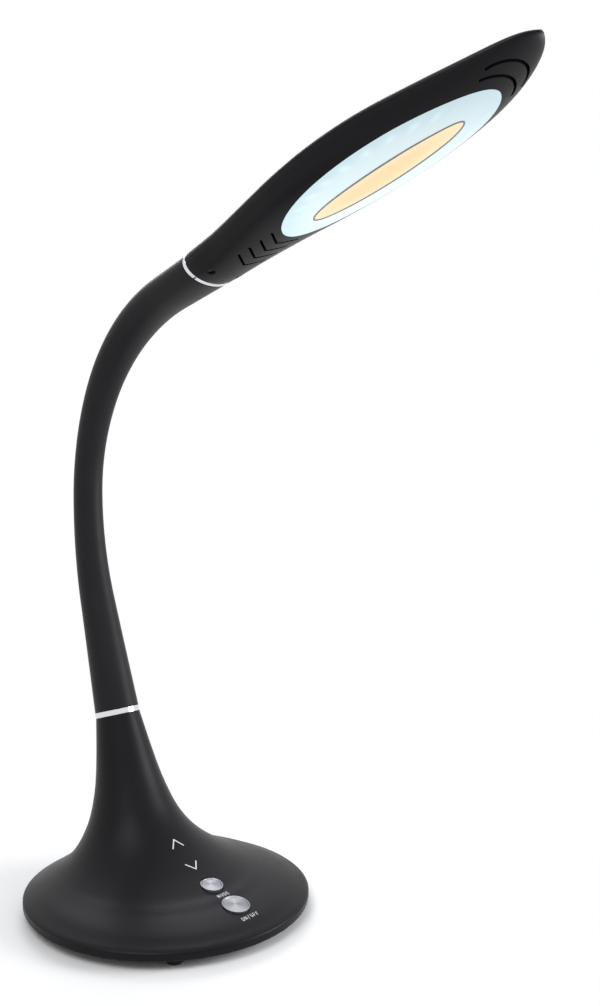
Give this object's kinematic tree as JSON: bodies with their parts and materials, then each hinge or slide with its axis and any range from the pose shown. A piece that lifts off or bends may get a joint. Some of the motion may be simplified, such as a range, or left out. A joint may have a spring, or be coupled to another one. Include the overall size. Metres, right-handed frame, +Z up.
{
  "type": "gooseneck desk lamp",
  "caption": "Desk lamp with a round weighted base, a bendable tapered neck and a leaf-shaped light head with cool and warm diffusers.",
  "frame": {"origin": "centre of the round base, on the desk, at the underside of the rubber feet", "axes": "+Z up, +X the front of the lamp, where the buttons are and over which the head reaches; the lamp is symmetric about the plane y = 0 apart from small parts inside the base"},
  "size_m": [0.3487, 0.178, 0.4773],
  "materials": {
    "black_plastic": "fine satin, soft touch",
    "ballast_iron": "ground flat",
    "foot_rubber": "matte",
    "plated_steel": "zinc plated",
    "circuit_board": "satin solder resist",
    "component_plastic": "satin",
    "silver_mark": "satin",
    "lead_sheath": "satin",
    "trim_chrome": "polished",
    "core_steel": "turned",
    "button_aluminium": "spun, with a bright edge",
    "cool_diffuser": "opal, lit cool white",
    "warm_diffuser": "opal, lit warm white",
    "rim_grey": "satin",
    "led_board_white": "white solder resist",
    "cool_led": "gloss",
    "warm_led": "gloss",
    "sleeve_rubber": "smooth satin"
  },
  "bodies": {
    "base": {"base_shell": "black_plastic", "base_plate": "black_plastic", "ballast_plate": "ballast_iron", "rubber_feet": "foot_rubber", "base_screws": "plated_steel", "control_board": "circuit_board", "board_screws": "plated_steel", "board_components": "component_plastic", "tact_switches": "component_plastic", "up_mark": "silver_mark", "down_mark": "silver_mark", "dc_jack": "component_plastic", "jack_lead": "lead_sheath", "base_lead": "lead_sheath", "lower_trim_ring": "trim_chrome", "neck_foot_ferrule": "core_steel", "neck_foot_nut": "plated_steel", "neck_sleeve_1": "sleeve_rubber"},
    "mode_key": {"mode_button": "button_aluminium", "mode_plunger": "component_plastic"},
    "power_key": {"power_button": "button_aluminium", "power_plunger": "component_plastic"},
    "link_1": {"neck_link_1": "core_steel", "neck_lead_1": "lead_sheath", "neck_sleeve_2": "sleeve_rubber"},
    "link_2": {"neck_link_2": "core_steel", "neck_lead_2": "lead_sheath", "neck_sleeve_3": "sleeve_rubber"},
    "link_3": {"neck_link_3": "core_steel", "neck_lead_3": "lead_sheath", "neck_sleeve_4": "sleeve_rubber"},
    "link_4": {"neck_link_4": "core_steel", "neck_lead_4": "lead_sheath", "neck_sleeve_5": "sleeve_rubber"},
    "link_5": {"neck_link_5": "core_steel", "neck_lead_5": "lead_sheath", "neck_sleeve_6": "sleeve_rubber"},
    "link_6": {"neck_link_6": "core_steel", "neck_lead_6": "lead_sheath", "neck_sleeve_7": "sleeve_rubber"},
    "link_7": {"neck_link_7": "core_steel", "neck_lead_7": "lead_sheath", "neck_sleeve_8": "sleeve_rubber"},
    "link_8": {"neck_link_8": "core_steel", "neck_lead_8": "lead_sheath", "neck_sleeve_9": "sleeve_rubber"},
    "head": {"head_upper_shell": "black_plastic", "head_lower_shell": "black_plastic", "cool_diffuser": "cool_diffuser", "warm_diffuser": "warm_diffuser", "divider_rim": "rim_grey", "led_board": "led_board_white", "led_board_screws": "plated_steel", "cool_leds": "cool_led", "warm_leds": "warm_led", "head_screws": "plated_steel", "upper_trim_ring": "trim_chrome", "neck_head_ferrule": "core_steel", "neck_head_nut": "plated_steel", "head_lead": "lead_sheath"}
  },
  "joints": [
    {"name": "neck_bend_1", "type": "hinge", "parent": "base", "child": "link_1", "pos_m": [-0.05923, 0, 0.13354], "axis": [0, 1, 0], "range_deg": [-15, 15], "deforming": ["neck_sleeve_1"]},
    {"name": "neck_bend_2", "type": "hinge", "parent": "link_1", "child": "link_2", "pos_m": [-0.07031, 0, 0.16978], "axis": [0.9563, 0, 0.2924], "range_deg": [-15, 15], "deforming": ["neck_sleeve_2"]},
    {"name": "neck_bend_3", "type": "hinge", "parent": "link_2", "child": "link_3", "pos_m": [-0.08038, 0, 0.2063], "axis": [0, 1, 0], "range_deg": [-15, 15], "deforming": ["neck_sleeve_3"]},
    {"name": "neck_bend_4", "type": "hinge", "parent": "link_3", "child": "link_4", "pos_m": [-0.0853, 0, 0.24384], "axis": [0.9985, 0, 0.055], "range_deg": [-15, 15], "deforming": ["neck_sleeve_4"]},
    {"name": "neck_bend_5", "type": "hinge", "parent": "link_4", "child": "link_5", "pos_m": [-0.08348, 0, 0.2816], "axis": [0, 1, 0], "range_deg": [-15, 15], "deforming": ["neck_sleeve_5"]},
    {"name": "neck_bend_6", "type": "hinge", "parent": "link_5", "child": "link_6", "pos_m": [-0.0722, 0, 0.31767], "axis": [0.9077, 0, -0.4195], "range_deg": [-15, 15], "deforming": ["neck_sleeve_6"]},
    {"name": "neck_bend_7", "type": "hinge", "parent": "link_6", "child": "link_7", "pos_m": [-0.05132, 0, 0.34911], "axis": [0, 1, 0], "range_deg": [-15, 15], "deforming": ["neck_sleeve_7"]},
    {"name": "neck_bend_8", "type": "hinge", "parent": "link_7", "child": "link_8", "pos_m": [-0.02174, 0, 0.37255], "axis": [0.4907, 0, -0.8713], "range_deg": [-15, 15], "deforming": ["neck_sleeve_8"]},
    {"name": "neck_bend_9", "type": "hinge", "parent": "link_8", "child": "head", "pos_m": [0.01338, 0, 0.38659], "axis": [0, 1, 0], "range_deg": [-15, 15], "deforming": ["neck_sleeve_9"]},
    {"name": "mode_press", "type": "slide", "parent": "base", "child": "mode_key", "axis": [-0.1822, 0, -0.9833], "range_m": [0, 0.0006], "stiffness_N_per_m": 2500},
    {"name": "power_press", "type": "slide", "parent": "base", "child": "power_key", "axis": [-0.1822, 0, -0.9833], "range_m": [0, 0.0006], "stiffness_N_per_m": 2500}
  ]
}
